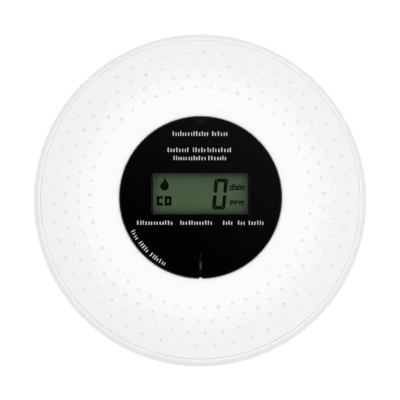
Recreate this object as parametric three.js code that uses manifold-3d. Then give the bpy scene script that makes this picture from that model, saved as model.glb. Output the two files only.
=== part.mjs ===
// A round smoke and carbon monoxide alarm with a digital readout: twist-lock mounting bracket,
// rear housing, domed front cover, press-to-test display panel, and the circuit board, sensors,
// horn and battery compartment that they enclose.
//
// Units are millimetres. +Z points out of the front, +Y is the top of the display, and the
// origin is the centre of the bracket's back face, which lies against the wall or ceiling.

import * as THREE from 'three';
import { mergeVertices } from 'three/addons/utils/BufferGeometryUtils.js';
import Module from 'manifold-3d';

const wasm = await Module();
wasm.setup();

// ---------------------------------------------------------------- driving dimensions

const OUTER_R = 66; // largest radius of the alarm
const SEAM_R = 63.1; // radius of the front cover's edge
const PLATEAU_R = 37.9; // where the dome becomes the flat ring around the panel
const PANEL_R = 31.6; // display panel
const PANEL_GAP = 0.3; // gap around the display panel
const CONTACT = 0.1; // gap between pieces that rest on each other
const CLEAR = 0.3; // gap between pieces that are cut for each other

const SKIRT_Z = 0.8; // lowest edge of the rear housing
const PLATE_Z = [5.2, 7.2]; // rear plate of the housing
const SHOULDER_Z = 15.65; // where the skirt turns into the rounded shoulder
const LEDGE_Z = 19.8; // ledge that carries the front cover
const DOME_Z = 21.4; // where the dome starts
const PLATEAU_Z = 34.6;
const PANEL_Z = [34, 36];
const CARRIER_Z = [31.6, 33.9];
const PCB_Z = [25.3, 26.9];
const COVER_WALL = 2.2; // thickness of the front cover, measured along Z

const RING_IN = 45; // bracket ring
const RING_OUT = 57;
const BRACKET_TOP = 4.6;
const LUG_OUT = 59.6; // tip of the bracket's bayonet lugs
const TAB_IN = 57.5; // tip of the housing's bayonet tabs
const LUG_HALF = 6; // half of a lug's or tab's width, in degrees
const LUG_ANGLES = [30, 150, 270];
const SCREW_CIRCLE_R = 51; // wall screws, 102 mm apart
const SLOT_WIDTH = 5;
const KEYHOLE_R = 4.5;

const SHELL_SEGMENTS = 48;
const SMALL_SEGMENTS = 20;
const VENT_COUNT = SHELL_SEGMENTS; // one vent in the middle of each flat of the skirt

const LCD_CENTRE = [-0.1, 1.4];
const WINDOW_SIZE = [38, 16];
const CHAMBER_AT = [0, 31];
const HORN_AT = [-38.5, 0];
const SENSOR_AT = [33, -8];
const POSTS = [[31, 31], [-31, 31], [28, -34], [-28, -34]];
const SCREWS = [[31.3, 44.6], [-31.3, 44.6], [-31.3, -44.6], [31.3, -44.6]];
const SPRING_R = 27; // return springs stand on this circle
const SPRING_ANGLES = [0, 120, 240];
const UPPER_LED_Y = 29.3;
const LOWER_LED_Y = -28;
const SWITCH_Y = -21;

const BATTERY_BOX = { x: 19.4, y: [-37.6, -1.6], wall: 1.2, ceiling: [24.1, 25.1] };
const DOOR = { x: 19.8, y: [-38.2, -0.6], z: [5.4, 6.8] };
const HINGE = { y: 1.5, z: 6.3, knuckle: 1.1, pin: 0.7, x: [8, 14], pinEnd: 16 };
const CELL = { radius: 8.4, z: 15.5, pitch: 18, y: -19.6 };

const DEG = Math.PI / 180;

// ---------------------------------------------------------------- geometry helpers

/** Revolves a closed profile of [radius, z] points about Z. Profiles run anticlockwise. */
function lathe(profile, segments = SHELL_SEGMENTS) {
  const points = profile.map(([r, z]) => new THREE.Vector2(r, z));
  const closed = points[0].x !== 0 || points[points.length - 1].x !== 0;
  if (closed) points.push(points[0].clone());
  return new THREE.LatheGeometry(points, segments, Math.PI / 2).rotateX(Math.PI / 2);
}

function disc(radius, z0, z1, at = [0, 0], segments = SMALL_SEGMENTS) {
  return lathe([[0, z0], [radius, z0], [radius, z1], [0, z1]], segments).translate(at[0], at[1], 0);
}

function ring(inner, outer, z0, z1, at = [0, 0], segments = SMALL_SEGMENTS) {
  const profile = [[inner, z0], [outer, z0], [outer, z1], [inner, z1]];
  return lathe(profile, segments).translate(at[0], at[1], 0);
}

function box(x0, x1, y0, y1, z0, z1) {
  const geometry = new THREE.BoxGeometry(x1 - x0, y1 - y0, z1 - z0);
  return geometry.translate((x0 + x1) / 2, (y0 + y1) / 2, (z0 + z1) / 2);
}

/** A box given by its centre in X and Y and its half sizes. */
function block([cx, cy], halfX, halfY, z0, z1) {
  return box(cx - halfX, cx + halfX, cy - halfY, cy + halfY, z0, z1);
}

/** A rod along X. */
function rodX(radius, x0, x1, y, z, segments = SMALL_SEGMENTS) {
  const geometry = new THREE.CylinderGeometry(radius, radius, x1 - x0, segments);
  return geometry.rotateZ(Math.PI / 2).translate((x0 + x1) / 2, y, z);
}

/** A ring sector between two angles, in degrees. */
function sector(inner, outer, from, to, z0, z1) {
  const shape = new THREE.Shape();
  shape.absarc(0, 0, outer, from * DEG, to * DEG, false);
  shape.absarc(0, 0, inner, to * DEG, from * DEG, true);
  const options = { depth: z1 - z0, bevelEnabled: false, curveSegments: 3 };
  return new THREE.ExtrudeGeometry(shape, options).translate(0, 0, z0);
}

/** A coil spring along Z, with closed flat-ended wire. */
function coil({ radius, endRadius = radius, wire, turns, length }) {
  class Helix extends THREE.Curve {
    getPoint(t, target = new THREE.Vector3()) {
      const r = THREE.MathUtils.lerp(radius, endRadius, t);
      const a = t * turns * 2 * Math.PI;
      return target.set(r * Math.cos(a), r * Math.sin(a), wire + t * (length - 2 * wire));
    }
  }
  const section = new THREE.Shape().absarc(0, 0, wire, 0, 2 * Math.PI, false);
  const options = { extrudePath: new Helix(), steps: turns * 8, curveSegments: 2, bevelEnabled: false };
  return new THREE.ExtrudeGeometry(section, options);
}

// ---------------------------------------------------------------- joins and cuts

function toSolid(geometry) {
  const bare = geometry.index ? geometry.toNonIndexed() : geometry.clone();
  bare.deleteAttribute('normal');
  bare.deleteAttribute('uv');
  const merged = mergeVertices(bare, 1e-4);
  const mesh = new wasm.Mesh({
    numProp: 3,
    vertProperties: merged.attributes.position.array,
    triVerts: new Uint32Array(merged.index.array),
  });
  return new wasm.Manifold(mesh);
}

function toGeometry(solid) {
  const mesh = solid.getMesh();
  const geometry = new THREE.BufferGeometry();
  geometry.setAttribute('position', new THREE.BufferAttribute(mesh.vertProperties, 3));
  geometry.setIndex(new THREE.BufferAttribute(mesh.triVerts, 1));
  return geometry;
}

const join = (geometries) => geometries.map(toSolid).reduce((sum, next) => sum.add(next));

/** Joins the first list of geometries and cuts the second list out of it. */
function carve(added, removed = []) {
  const body = join(added);
  return toGeometry(removed.length ? body.subtract(join(removed)) : body);
}

// ---------------------------------------------------------------- materials

function plastic(color, roughness = 0.5) {
  return new THREE.MeshStandardMaterial({ color, roughness, metalness: 0 });
}

function metal(color, roughness = 0.3) {
  return new THREE.MeshStandardMaterial({ color, roughness, metalness: 1 });
}

const MATERIALS = {
  white: plastic(0xf2f2f0, 0.55),
  bracketWhite: plastic(0xe9e9e6, 0.6),
  blackGloss: plastic(0x050506, 0.12),
  blackMatte: plastic(0x17181a, 0.7),
  clear: new THREE.MeshStandardMaterial({
    color: 0x9aa39a, roughness: 0.05, metalness: 0, transparent: true, opacity: 0.35,
  }),
  lcd: plastic(0x4a5c3c, 0.25),
  board: plastic(0x1c5a34, 0.45),
  steel: metal(0xb9bcc0, 0.3),
  brass: metal(0xc9a24b, 0.3),
  cell: plastic(0x2f4f7d, 0.4),
  redLens: plastic(0xb02a20, 0.2),
  label: plastic(0xdcdcd8, 0.5),
  rubber: plastic(0x9b9b9b, 0.8),
};

const alarm = new THREE.Group();

function add(name, geometry, material, parent = alarm) {
  const mesh = new THREE.Mesh(geometry, material);
  mesh.name = name;
  parent.add(mesh);
  return mesh;
}

// ---------------------------------------------------------------- mounting bracket

/** A flat ring with a raised outer wall that carries three bayonet lugs and their stops. */
function bracketGeometry() {
  const wallIn = 55;
  const lip = { r: 46.2, z: 3 };
  const ringProfile = [
    [RING_IN, 0], [RING_OUT, 0], [RING_OUT, BRACKET_TOP], [wallIn, BRACKET_TOP],
    [wallIn, 2], [lip.r, 2], [lip.r, lip.z], [RING_IN, lip.z],
  ];
  const root = RING_OUT - 0.5;
  const stop = { from: LUG_HALF + 2, to: LUG_HALF + 0.4, z: 0.8 };
  const lugs = LUG_ANGLES.map((a) => sector(root, LUG_OUT, a - stop.to, a + LUG_HALF, 3, BRACKET_TOP));
  const stops = LUG_ANGLES.map((a) => (
    sector(root, LUG_OUT, a - stop.from, a - stop.to + 0.1, stop.z, BRACKET_TOP)
  ));
  const slotIn = SCREW_CIRCLE_R - SLOT_WIDTH / 2;
  const slotOut = SCREW_CIRCLE_R + SLOT_WIDTH / 2;
  const arcSlots = [0, 180].map((a) => sector(slotIn, slotOut, a - 8, a + 8, -1, 3));
  const keyholes = [1, -1].flatMap((side) => [
    disc(KEYHOLE_R, -1, 3, [0, side * SCREW_CIRCLE_R]),
    sector(slotIn, slotOut, side * 90, side * 90 + 11, -1, 3),
  ]);
  return carve([lathe(ringProfile), ...lugs, ...stops], [...arcSlots, ...keyholes]);
}

add('mounting_bracket', bracketGeometry(), MATERIALS.bracketWhite);

// ---------------------------------------------------------------- rear housing

const SHOULDER = { r: SEAM_R + CLEAR, halfR: OUTER_R - SEAM_R - CLEAR, halfZ: 5.6 };

/** Points of the rounded shoulder, a quarter of an ellipse from the skirt up to the seam. */
function shoulderPoints(count = 4) {
  return Array.from({ length: count + 1 }, (_, i) => {
    const t = (Math.PI * i) / (2 * count);
    return [SHOULDER.r + SHOULDER.halfR * Math.cos(t), SHOULDER_Z + SHOULDER.halfZ * Math.sin(t)];
  });
}

function housingGeometry() {
  const shell = [
    [0, PLATE_Z[0]], [61.3, PLATE_Z[0]], [61.2, SKIRT_Z], [62.8, SKIRT_Z], [63.3, SKIRT_Z + 0.4],
    ...shoulderPoints(),
    [SHOULDER.r, LEDGE_Z], [62.2, LEDGE_Z], [62.2, 17.5], [64, 15.5], [62.4, PLATE_Z[1]], [0, PLATE_Z[1]],
  ];
  const tabs = LUG_ANGLES.map((a) => sector(TAB_IN, 61.6, a - LUG_HALF, a + LUG_HALF, 0.9, 2.7));
  const ventHalf = 1.4;
  const vents = Array.from({ length: VENT_COUNT }, (_, i) => {
    const angle = ((i + 0.5) * 360) / VENT_COUNT;
    return box(60, 68, -ventHalf, ventHalf, 8.6, 15).rotateZ(angle * DEG);
  });

  const { x, y, wall, ceiling } = BATTERY_BOX;
  const batteryWalls = box(-x - wall, x + wall, y[0] - wall, y[1] + wall, PLATE_Z[0], ceiling[1]);
  const batteryRoom = box(-x, x, y[0], y[1], PLATE_Z[0] - 1, ceiling[0]);
  const doorRecess = box(
    -DOOR.x - 0.4, DOOR.x + 0.4, DOOR.y[0] - 0.4, DOOR.y[1] + 0.4, PLATE_Z[0] - 1, DOOR.z[1] + CONTACT * 2,
  );
  const fingerScoop = disc(5, PLATE_Z[0] - 1, PLATE_Z[0] + 0.9, [0, DOOR.y[0] - 2.4]);

  const ears = [-1, 1].map((side) => {
    const ends = [HINGE.x[1] + 0.4, HINGE.pinEnd + 1].map((v) => v * side).sort((a, b) => a - b);
    return box(ends[0], ends[1], 0.1, 3.1, PLATE_Z[0], 8.2);
  });
  const knuckleNotches = [-1, 1].map((side) => {
    const ends = [HINGE.x[0] - 0.4, HINGE.x[1] + 0.4].map((v) => v * side).sort((a, b) => a - b);
    return box(ends[0], ends[1], -0.6, 3.1, PLATE_Z[0] - 1, PLATE_Z[1] + 1);
  });
  const pinHoles = [-1, 1].map((side) => {
    const ends = [HINGE.x[1], HINGE.pinEnd + CLEAR].map((v) => v * side).sort((a, b) => a - b);
    return rodX(HINGE.pin + 0.2, ends[0], ends[1], HINGE.y, HINGE.z, 16);
  });

  const posts = POSTS.map((at) => disc(2.6, PLATE_Z[0] + 1, PCB_Z[0] - CONTACT, at));
  const postHoles = POSTS.map((at) => disc(1.4, 16, PCB_Z[1], at, 12));
  const screwBosses = SCREWS.map((at) => disc(4.2, PLATE_Z[0] + 1, 10.2, at));
  const screwHoles = SCREWS.flatMap((at) => [
    disc(3.2, PLATE_Z[0] - 1, 7.6, at),
    disc(1.7, 7, 11, at, 12),
  ]);

  const added = [lathe(shell), ...tabs, batteryWalls, ...ears, ...posts, ...screwBosses];
  const doorCuts = [batteryRoom, doorRecess, fingerScoop, ...knuckleNotches, ...pinHoles];
  return carve(added, [...vents, ...doorCuts, ...postHoles, ...screwHoles]);
}

add('rear_housing', housingGeometry(), MATERIALS.white);

// ---------------------------------------------------------------- front cover

/** Height of the dome's outer surface at a radius between the plateau and the seam. */
function domeHeight(radius) {
  const share = (SEAM_R - radius) / (SEAM_R - PLATEAU_R);
  return DOME_Z + (PLATEAU_Z - DOME_Z) * Math.sin((share * Math.PI) / 2);
}

/** Dome points from one radius to another, lowered by drop. */
function domePoints(from, to, count, drop = 0) {
  return Array.from({ length: count + 1 }, (_, i) => {
    const r = from + ((to - from) * i) / count;
    return [r, domeHeight(r) - drop];
  });
}

function coverGeometry() {
  const openingR = PANEL_R + PANEL_GAP;
  const edgeZ = LEDGE_Z + CLEAR;
  const flangeZ = 31;
  const lip = { inner: 60.7, outer: 61.9, z: 18.6 };
  const outside = [
    [SEAM_R, edgeZ], [SEAM_R, DOME_Z - 0.3], ...domePoints(SEAM_R - 0.3, PLATEAU_R, 6),
    [openingR + 0.5, PLATEAU_Z + 0.2], [openingR, PLATEAU_Z - 0.2],
  ];
  const inside = [
    [openingR, flangeZ], [openingR + 1.6, flangeZ], [openingR + 1.6, PLATEAU_Z - COVER_WALL],
    ...domePoints(PLATEAU_R, lip.inner, 5, COVER_WALL),
    [lip.inner, lip.z], [lip.outer, lip.z], [lip.outer, edgeZ],
  ];
  const filled = toSolid(lathe([[0, 0], [SEAM_R, 0], ...outside, [0, PLATEAU_Z - 0.2]]));
  const bosses = join(SCREWS.map((at) => disc(3.2, 10.2 + CLEAR, PLATEAU_Z, at))).intersect(filled);
  const pilots = join(SCREWS.map((at) => disc(1.7, 10, 22, at, 12)));
  const key = toSolid(disc(0.7, flangeZ, PLATEAU_Z, [0, -openingR - 0.3], 12)); // locates the panel's notch
  return toGeometry(toSolid(lathe([...outside, ...inside])).add(bosses).add(key).subtract(pilots));
}

add('front_cover', coverGeometry(), MATERIALS.white);

// ---------------------------------------------------------------- press-to-test display panel

// Each light guide's visible face, as bars of a half width and a stretch of Y: a T and a thin line.
const UPPER_GUIDE = [{ half: 3, y: [29.8, 31] }, { half: 1.6, y: [28.4, 30] }];
const LOWER_GUIDE = [{ half: 0.35, y: [-30.4, -21.6] }];
const GUIDE_FOOT = 31.4;

function guideRoom(bars, z0, z1) {
  return bars.map(({ half, y }) => box(-half - CLEAR, half + CLEAR, y[0] - CLEAR, y[1] + CLEAR, z0, z1));
}

function panelGeometry() {
  const chamfer = 0.4;
  const face = lathe([
    [0, PANEL_Z[0]], [PANEL_R, PANEL_Z[0]], [PANEL_R, PANEL_Z[1] - chamfer],
    [PANEL_R - chamfer, PANEL_Z[1]], [0, PANEL_Z[1]],
  ]);
  const [w, h] = WINDOW_SIZE;
  const window = block(LCD_CENTRE, w / 2 + CLEAR, h / 2 + CLEAR, 33, 37);
  const guides = [UPPER_GUIDE, LOWER_GUIDE].flatMap((bars) => guideRoom(bars, 33, 37));
  const notch = disc(1, 33, 37, [0, -PANEL_R - 0.2], 12);
  return carve([face], [window, ...guides, notch]);
}

function carrierGeometry() {
  const rim = disc(31, CARRIER_Z[0], CARRIER_Z[1], [0, 0], 36);
  const hookAngles = [60, 180, 300];
  const hooks = hookAngles.flatMap((a) => [
    sector(29.2, 31, a - 5, a + 5, 29.4, CARRIER_Z[1]),
    sector(29.2, 33.4, a - 5, a + 5, 29.4, 30.6),
  ]);
  const displayRoom = block(LCD_CENTRE, 22.2, 11.3, 29, 35);
  const guides = [UPPER_GUIDE, LOWER_GUIDE].flatMap((bars) => guideRoom(bars, 29, 35));
  return carve([rim, ...hooks], [displayRoom, ...guides]);
}

/** A light guide: its visible face in the panel and a stem towards its LED. */
function guideGeometry(bars, stemHalf, stemY) {
  const face = bars.map(({ half, y }) => box(-half, half, y[0], y[1], CARRIER_Z[0] + 0.4, PANEL_Z[1] - 0.1));
  return carve([...face, box(-stemHalf, stemHalf, stemY[0], stemY[1], GUIDE_FOOT, PANEL_Z[0])]);
}

add('display_panel', panelGeometry(), MATERIALS.blackGloss);
add('display_window', block(LCD_CENTRE, WINDOW_SIZE[0] / 2, WINDOW_SIZE[1] / 2, 34.5, 35.9), MATERIALS.clear);
add('light_guide_upper', guideGeometry(UPPER_GUIDE, 1.5, [28.4, 30.4]), MATERIALS.clear);
add('light_guide_lower', guideGeometry(LOWER_GUIDE, 0.35, [-30, -26]), MATERIALS.clear);
add('button_carrier', carrierGeometry(), MATERIALS.blackMatte);
add('switch_stem', disc(1.7, 28.9, CARRIER_Z[0] - CONTACT, [0, SWITCH_Y]), MATERIALS.blackMatte);

SPRING_ANGLES.forEach((angle, i) => {
  const spring = coil({ radius: 2, wire: 0.3, turns: 5, length: CARRIER_Z[0] - PCB_Z[1] - 2 * CONTACT });
  const mesh = add(`return_spring_${i + 1}`, spring, MATERIALS.steel);
  mesh.position.set(SPRING_R * Math.cos(angle * DEG), SPRING_R * Math.sin(angle * DEG), PCB_Z[1] + CONTACT);
});

// ---------------------------------------------------------------- circuit board and readout

function boardGeometry() {
  const holes = POSTS.map((at) => disc(1.6, 24, 28, at, 12));
  return carve([disc(50, PCB_Z[0], PCB_Z[1], [0, 0], 36)], holes);
}

/** A frame that holds the LCD glass above the board, open through the middle. */
function lcdFrameGeometry() {
  return carve(
    [block(LCD_CENTRE, 21.5, 10.6, PCB_Z[1] + CONTACT, 32.4)],
    [block(LCD_CENTRE, 20, 9.3, 29.3, 33), block(LCD_CENTRE, 18.6, 8.4, 26, 30)],
  );
}

function switchGeometry() {
  const at = [0, SWITCH_Y];
  return carve([block(at, 3, 3, PCB_Z[1] + CONTACT, 30.2)], [disc(2, 27.8, 31, at, 16)]);
}

/** A round LED with a domed top. */
function ledGeometry(y) {
  const r = 1.5;
  const base = PCB_Z[1] + CONTACT;
  const dome = [0, 45].map((a) => [r * Math.cos(a * DEG), base + 1.8 + r * Math.sin(a * DEG)]);
  const rim = [[0, base], [r + 0.3, base], [r + 0.3, base + 0.6], [r, base + 0.6]];
  return lathe([...rim, ...dome, [0, base + 1.8 + r]], 12).translate(0, y, 0);
}

add('circuit_board', boardGeometry(), MATERIALS.board);
add('lcd_frame', lcdFrameGeometry(), MATERIALS.blackMatte);
add('lcd_glass', block(LCD_CENTRE, 19.7, 9, 29.4, 31.6), MATERIALS.lcd);
add('lcd_backlight', box(-18.5, 18.3, -6.6, 7.6, PCB_Z[1] + CONTACT, 29.2), MATERIALS.label);
add('lcd_connector_strip', box(-18.4, 18.2, 8, 9.6, PCB_Z[1] + CONTACT, 29.2), MATERIALS.rubber);
add('test_switch', switchGeometry(), MATERIALS.blackMatte);
add('led_smoke', ledGeometry(UPPER_LED_Y), MATERIALS.redLens);
add('led_status', ledGeometry(LOWER_LED_Y), MATERIALS.label);
add('microcontroller', block([20, 20], 4, 4, PCB_Z[1] + CONTACT, PCB_Z[1] + 1.5), MATERIALS.blackMatte);
add('capacitor', disc(3.2, 16.5, PCB_Z[0] - CONTACT, [30, 12]), MATERIALS.blackMatte);

/** A pan-head screw pointing along +Z, with its cross recess. */
function screwGeometry({ headR, headZ, shankR, shankEnd, up = 1 }) {
  const head = lathe([
    [0, 0], [headR * 0.7, 0], [headR, headZ * 0.45], [headR, headZ], [shankR, headZ], [shankR, shankEnd - 1],
    [0, shankEnd],
  ], 12);
  const half = headR * 0.14;
  const reach = headR * 0.55;
  const cross = [box(-reach, reach, -half, half, -1, 0.7), box(-half, half, -reach, reach, -1, 0.7)];
  const geometry = carve([head], cross);
  return up > 0 ? geometry : geometry.rotateX(Math.PI);
}

POSTS.forEach(([x, y], i) => {
  const screw = screwGeometry({ headR: 2.4, headZ: 1.4, shankR: 1.1, shankEnd: 9, up: -1 });
  add(`board_screw_${i + 1}`, screw, MATERIALS.steel).position.set(x, y, PCB_Z[1] + 1.4 + CONTACT);
});

SCREWS.forEach(([x, y], i) => {
  const screw = screwGeometry({ headR: 2.8, headZ: 1.9, shankR: 1.4, shankEnd: 15 });
  add(`housing_screw_${i + 1}`, screw, MATERIALS.steel).position.set(x, y, 7.6 - 1.9 - CONTACT);
});

// ---------------------------------------------------------------- smoke chamber

const CHAMBER_Z = { cap: 9.4, vanes: 10.8, base: 22.4, top: PCB_Z[0] - CONTACT };

/** The chamber's cap, with a ring of slanted vanes that let smoke in and keep light out. */
function chamberCapGeometry() {
  const vaneCount = 12;
  const vaneZ = [CHAMBER_Z.cap + 0.5, CHAMBER_Z.base - CLEAR];
  const vanes = Array.from({ length: vaneCount }, (_, i) => {
    const vane = box(-2.6, 2.6, -0.5, 0.5, ...vaneZ).rotateZ(50 * DEG).translate(14.6, 0, 0);
    return vane.rotateZ((i * 360 * DEG) / vaneCount);
  });
  return carve([disc(18.4, CHAMBER_Z.cap, CHAMBER_Z.vanes), ...vanes]).translate(...CHAMBER_AT, 0);
}

function chamberBaseGeometry() {
  const holes = [[-6, 6], [6, 6]].map((at) => disc(1.8, 20, 26, at, 12));
  return carve([disc(19.6, CHAMBER_Z.base, CHAMBER_Z.top, [0, 0], 24)], holes).translate(...CHAMBER_AT, 0);
}

add('smoke_chamber_cap', chamberCapGeometry(), MATERIALS.blackMatte);
add('smoke_chamber_base', chamberBaseGeometry(), MATERIALS.blackMatte);
const screenGeometry = ring(18.8, 19.4, CHAMBER_Z.cap, CHAMBER_Z.base - CLEAR, CHAMBER_AT, 30);
add('insect_screen', screenGeometry, MATERIALS.steel);
[['infrared_emitter', -6], ['photodiode', 6]].forEach(([name, x]) => {
  const at = [CHAMBER_AT[0] + x, CHAMBER_AT[1] + 6];
  add(name, disc(1.5, 18.5, PCB_Z[0] - CONTACT, at, 16), MATERIALS.clear);
});

// ---------------------------------------------------------------- carbon monoxide sensor

function sensorCapGeometry() {
  const cap = lathe([[0, 8.6], [9.2, 8.6], [9.9, 9.3], [9.9, 12.4], [9.2, 12.4], [9.2, 10], [0, 10]], 24);
  const gasHole = disc(1.2, 8, 11, [0, 0], 12);
  return carve([cap], [gasHole]).translate(...SENSOR_AT, 0);
}

add('co_sensor_body', disc(8.9, 10.2, PCB_Z[0] - CONTACT, SENSOR_AT, 24), MATERIALS.label);
add('co_sensor_cap', sensorCapGeometry(), MATERIALS.steel);

// ---------------------------------------------------------------- horn

/** A resonator cup with its mouth towards the rear plate and a sound port in its wall. */
function hornGeometry() {
  const cup = lathe([
    [0, 19], [0, 17.6], [15.2, 17.6], [15.2, 13], [14, 13], [14, 7.9], [15.6, 7.9], [15.6, 10], [16.8, 10],
    [16.8, 19],
  ], 24);
  const port = box(-18, -12, -4, 4, 7, 11.5);
  return carve([cup], [port]).translate(...HORN_AT, 0);
}

add('horn_resonator', hornGeometry(), MATERIALS.blackMatte);
add('piezo_disc', disc(14.9, 13.3, 13.8, HORN_AT, 24), MATERIALS.brass);
[-4, 4].forEach((offset, i) => {
  const at = [HORN_AT[0] + 8, HORN_AT[1] + offset];
  add(`horn_contact_${i + 1}`, disc(0.8, 19 + CONTACT, PCB_Z[0] - CONTACT, at, 12), MATERIALS.brass);
});

// ---------------------------------------------------------------- batteries and contacts

/** A cylindrical lithium cell along X: a plain can with a small terminal at its -X end. */
function cellGeometry() {
  const can = [
    [0, -17.9], [3.2, -17.9], [3.2, -17], [7.8, -17], [CELL.radius, -16.4],
    [CELL.radius, 15.4], [7.8, 16], [0, 16],
  ];
  return lathe(can, 24).rotateY(Math.PI / 2);
}

[1, -1].forEach((side, i) => {
  const number = i + 1;
  const holder = new THREE.Group();
  holder.position.set(0, CELL.y + (side * CELL.pitch) / 2, CELL.z);
  holder.rotation.z = side > 0 ? 0 : Math.PI;
  alarm.add(holder);
  add(`battery_cell_${number}`, cellGeometry(), MATERIALS.cell, holder);
  add(`contact_plate_${number}`, box(-18.9, -18.4, -5, 5, -6, 6), MATERIALS.steel, holder);
  const spring = coil({ radius: 4, endRadius: 2, wire: 0.35, turns: 3, length: 2.6 });
  add(`contact_spring_${number}`, spring.rotateY(-Math.PI / 2).translate(19, 0, 0), MATERIALS.steel, holder);
});

// ---------------------------------------------------------------- battery door

/** A flat door with two hinge knuckles, stub pins, and a thumb latch on its free edge. */
function doorGeometry() {
  const { x, y, z } = DOOR;
  const arms = [-1, 1].flatMap((side) => {
    const ends = HINGE.x.map((v) => v * side).sort((a, b) => a - b);
    const pinEnds = [HINGE.x[1] - 1, HINGE.pinEnd].map((v) => v * side).sort((a, b) => a - b);
    return [
      box(ends[0], ends[1], y[1] - 0.5, HINGE.y, z[0], z[1]),
      rodX(HINGE.knuckle, ends[0], ends[1], HINGE.y, HINGE.z, 20),
      rodX(HINGE.pin, pinEnds[0], pinEnds[1], HINGE.y, HINGE.z, 16),
    ];
  });
  const latchSlots = [-1, 1].map((side) => block([side * 5, y[0] + 3], 0.4, 4, z[0] - 1, z[1] + 1));
  const grips = [0, 1, 2].map((i) => block([0, y[0] + 2 + i * 1.6], 3.4, 0.3, z[0] - 1, z[0] + 0.4));
  return carve([box(-x, x, y[0], y[1], z[0], z[1]), ...arms], [...latchSlots, ...grips]);
}

add('battery_door', doorGeometry(), MATERIALS.white);
add('rating_label', box(-20, 20, 8, 30, PLATE_Z[0] - CONTACT - 0.15, PLATE_Z[0] - CONTACT), MATERIALS.label);

export default alarm;
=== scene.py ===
"""Looks for the round smoke and carbon monoxide alarm.

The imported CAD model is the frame. The mouldings, the display, the cells and the springs are rebuilt
here as smooth meshes in the same places, and every other node gets a material. Lengths are in
millimetres in the code, in the CAD's frame, and become metres when a piece is made.
"""

import math
import random

import bmesh
import bpy
from mathutils import Matrix, Vector


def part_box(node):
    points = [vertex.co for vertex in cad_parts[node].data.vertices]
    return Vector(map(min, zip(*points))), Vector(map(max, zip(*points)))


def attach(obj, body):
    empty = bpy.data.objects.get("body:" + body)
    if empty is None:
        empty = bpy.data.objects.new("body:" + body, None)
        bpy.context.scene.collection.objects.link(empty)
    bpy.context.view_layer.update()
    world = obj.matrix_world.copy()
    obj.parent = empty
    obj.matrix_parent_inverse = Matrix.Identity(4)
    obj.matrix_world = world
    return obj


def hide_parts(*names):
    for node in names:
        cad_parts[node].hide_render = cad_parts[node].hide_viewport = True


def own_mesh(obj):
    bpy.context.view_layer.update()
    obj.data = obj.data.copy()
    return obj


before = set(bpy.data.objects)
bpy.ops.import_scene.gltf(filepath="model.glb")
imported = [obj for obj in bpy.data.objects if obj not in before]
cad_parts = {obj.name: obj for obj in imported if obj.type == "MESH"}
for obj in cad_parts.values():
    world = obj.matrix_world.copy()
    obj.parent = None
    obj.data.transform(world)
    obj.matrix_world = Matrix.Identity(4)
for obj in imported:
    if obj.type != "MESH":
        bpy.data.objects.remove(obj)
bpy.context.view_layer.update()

MM = 0.001
TAU = 2 * math.pi


def node_box(node):
    """A CAD node's lowest and highest corners, in millimetres."""
    low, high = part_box(node)
    return low / MM, high / MM


# ---------------- sizes from the frame

_, COVER_HIGH = node_box("front_cover")
_, HOUSING_HIGH = node_box("rear_housing")
PANEL_LOW, PANEL_HIGH = node_box("display_panel")
WINDOW_LOW, WINDOW_HIGH = node_box("display_window")
GLASS_LOW, GLASS_HIGH = node_box("lcd_glass")
_, BRACKET_HIGH = node_box("mounting_bracket")
DOOR_LOW, DOOR_HIGH = node_box("battery_door")
LABEL_LOW, LABEL_HIGH = node_box("rating_label")

OUTER_R = HOUSING_HIGH.x
SEAM_R = COVER_HIGH.x
PANEL_R = PANEL_HIGH.x
PANEL_TOP = PANEL_HIGH.z
PANEL_GAP = 0.18
OPENING_R = PANEL_R + PANEL_GAP
BRACKET_TOP = BRACKET_HIGH.z

# Sizes that no node's box gives.
PLATEAU_R = 37.9
PLATEAU_RISE = 0.2  # from the plateau's edge to the panel's opening
PLATEAU_Z = COVER_HIGH.z - PLATEAU_RISE
DOME_Z = 21.4
COVER_WALL = 2.2
LEDGE_Z = 19.8
SKIRT_Z = 0.8
PLATE_Z = (5.2, 7.2)
SHOULDER_R = SEAM_R + 0.3
SHOULDER_Z = 15.65
SHOULDER_RISE = 5.6
SHOULDER_END_R = 63.9
SEAM_GAP = 0.03
LUG_ANGLES = (30, 150, 270)
LUG_TIP_R = 59.6
SCREW_CIRCLE_R = 51
CORNERS = ((31.3, 44.6), (-31.3, 44.6), (-31.3, -44.6), (31.3, -44.6))
POSTS = ((31, 31), (-31, 31), (28, -34), (-28, -34))
CASE_SCREW_HOLE_R = 1.7
BOARD_SCREW_HOLE_R = 1.4
SCREW_HEAD_HOLE_R = 3.2
COVER_BOSS_R = 3.2
HOUSING_BOSS_R = 4.2
POST_R = 2.6
VENTS = 48

ROUND_SEGMENTS = 288


# ---------------- outlines

def rounded(corners, steps=4):
    """A closed outline from corners (x, y, radius), each rounded to its radius."""
    outline = []
    for i, (x, y, radius) in enumerate(corners):
        here = Vector((x, y))
        if not radius:
            outline.append((x, y))
            continue
        back = (Vector(corners[i - 1][:2]) - here).normalized()
        ahead = (Vector(corners[(i + 1) % len(corners)][:2]) - here).normalized()
        half = back.angle(ahead) / 2
        centre = here + (back + ahead).normalized() * radius / math.sin(half)
        start = here + back * radius / math.tan(half) - centre
        turn = math.copysign(math.pi - 2 * half, start.y * back.x - start.x * back.y)
        for step in range(steps + 1):
            point = centre + Matrix.Rotation(turn * step / steps, 2) @ start
            outline.append((point.x, point.y))
    return outline


def rectangle(x0, x1, y0, y1, radius=0.0, steps=4):
    return rounded([(x0, y0, radius), (x1, y0, radius), (x1, y1, radius), (x0, y1, radius)], steps)


def ring_band(inner, outer, start, end, steps=8):
    """A sector of a flat ring, between two angles in degrees."""
    angles = [math.radians(start + (end - start) * i / steps) for i in range(steps + 1)]
    outside = [(outer * math.cos(a), outer * math.sin(a)) for a in angles]
    inside = [(inner * math.cos(a), inner * math.sin(a)) for a in reversed(angles)]
    return outside + inside


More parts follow.
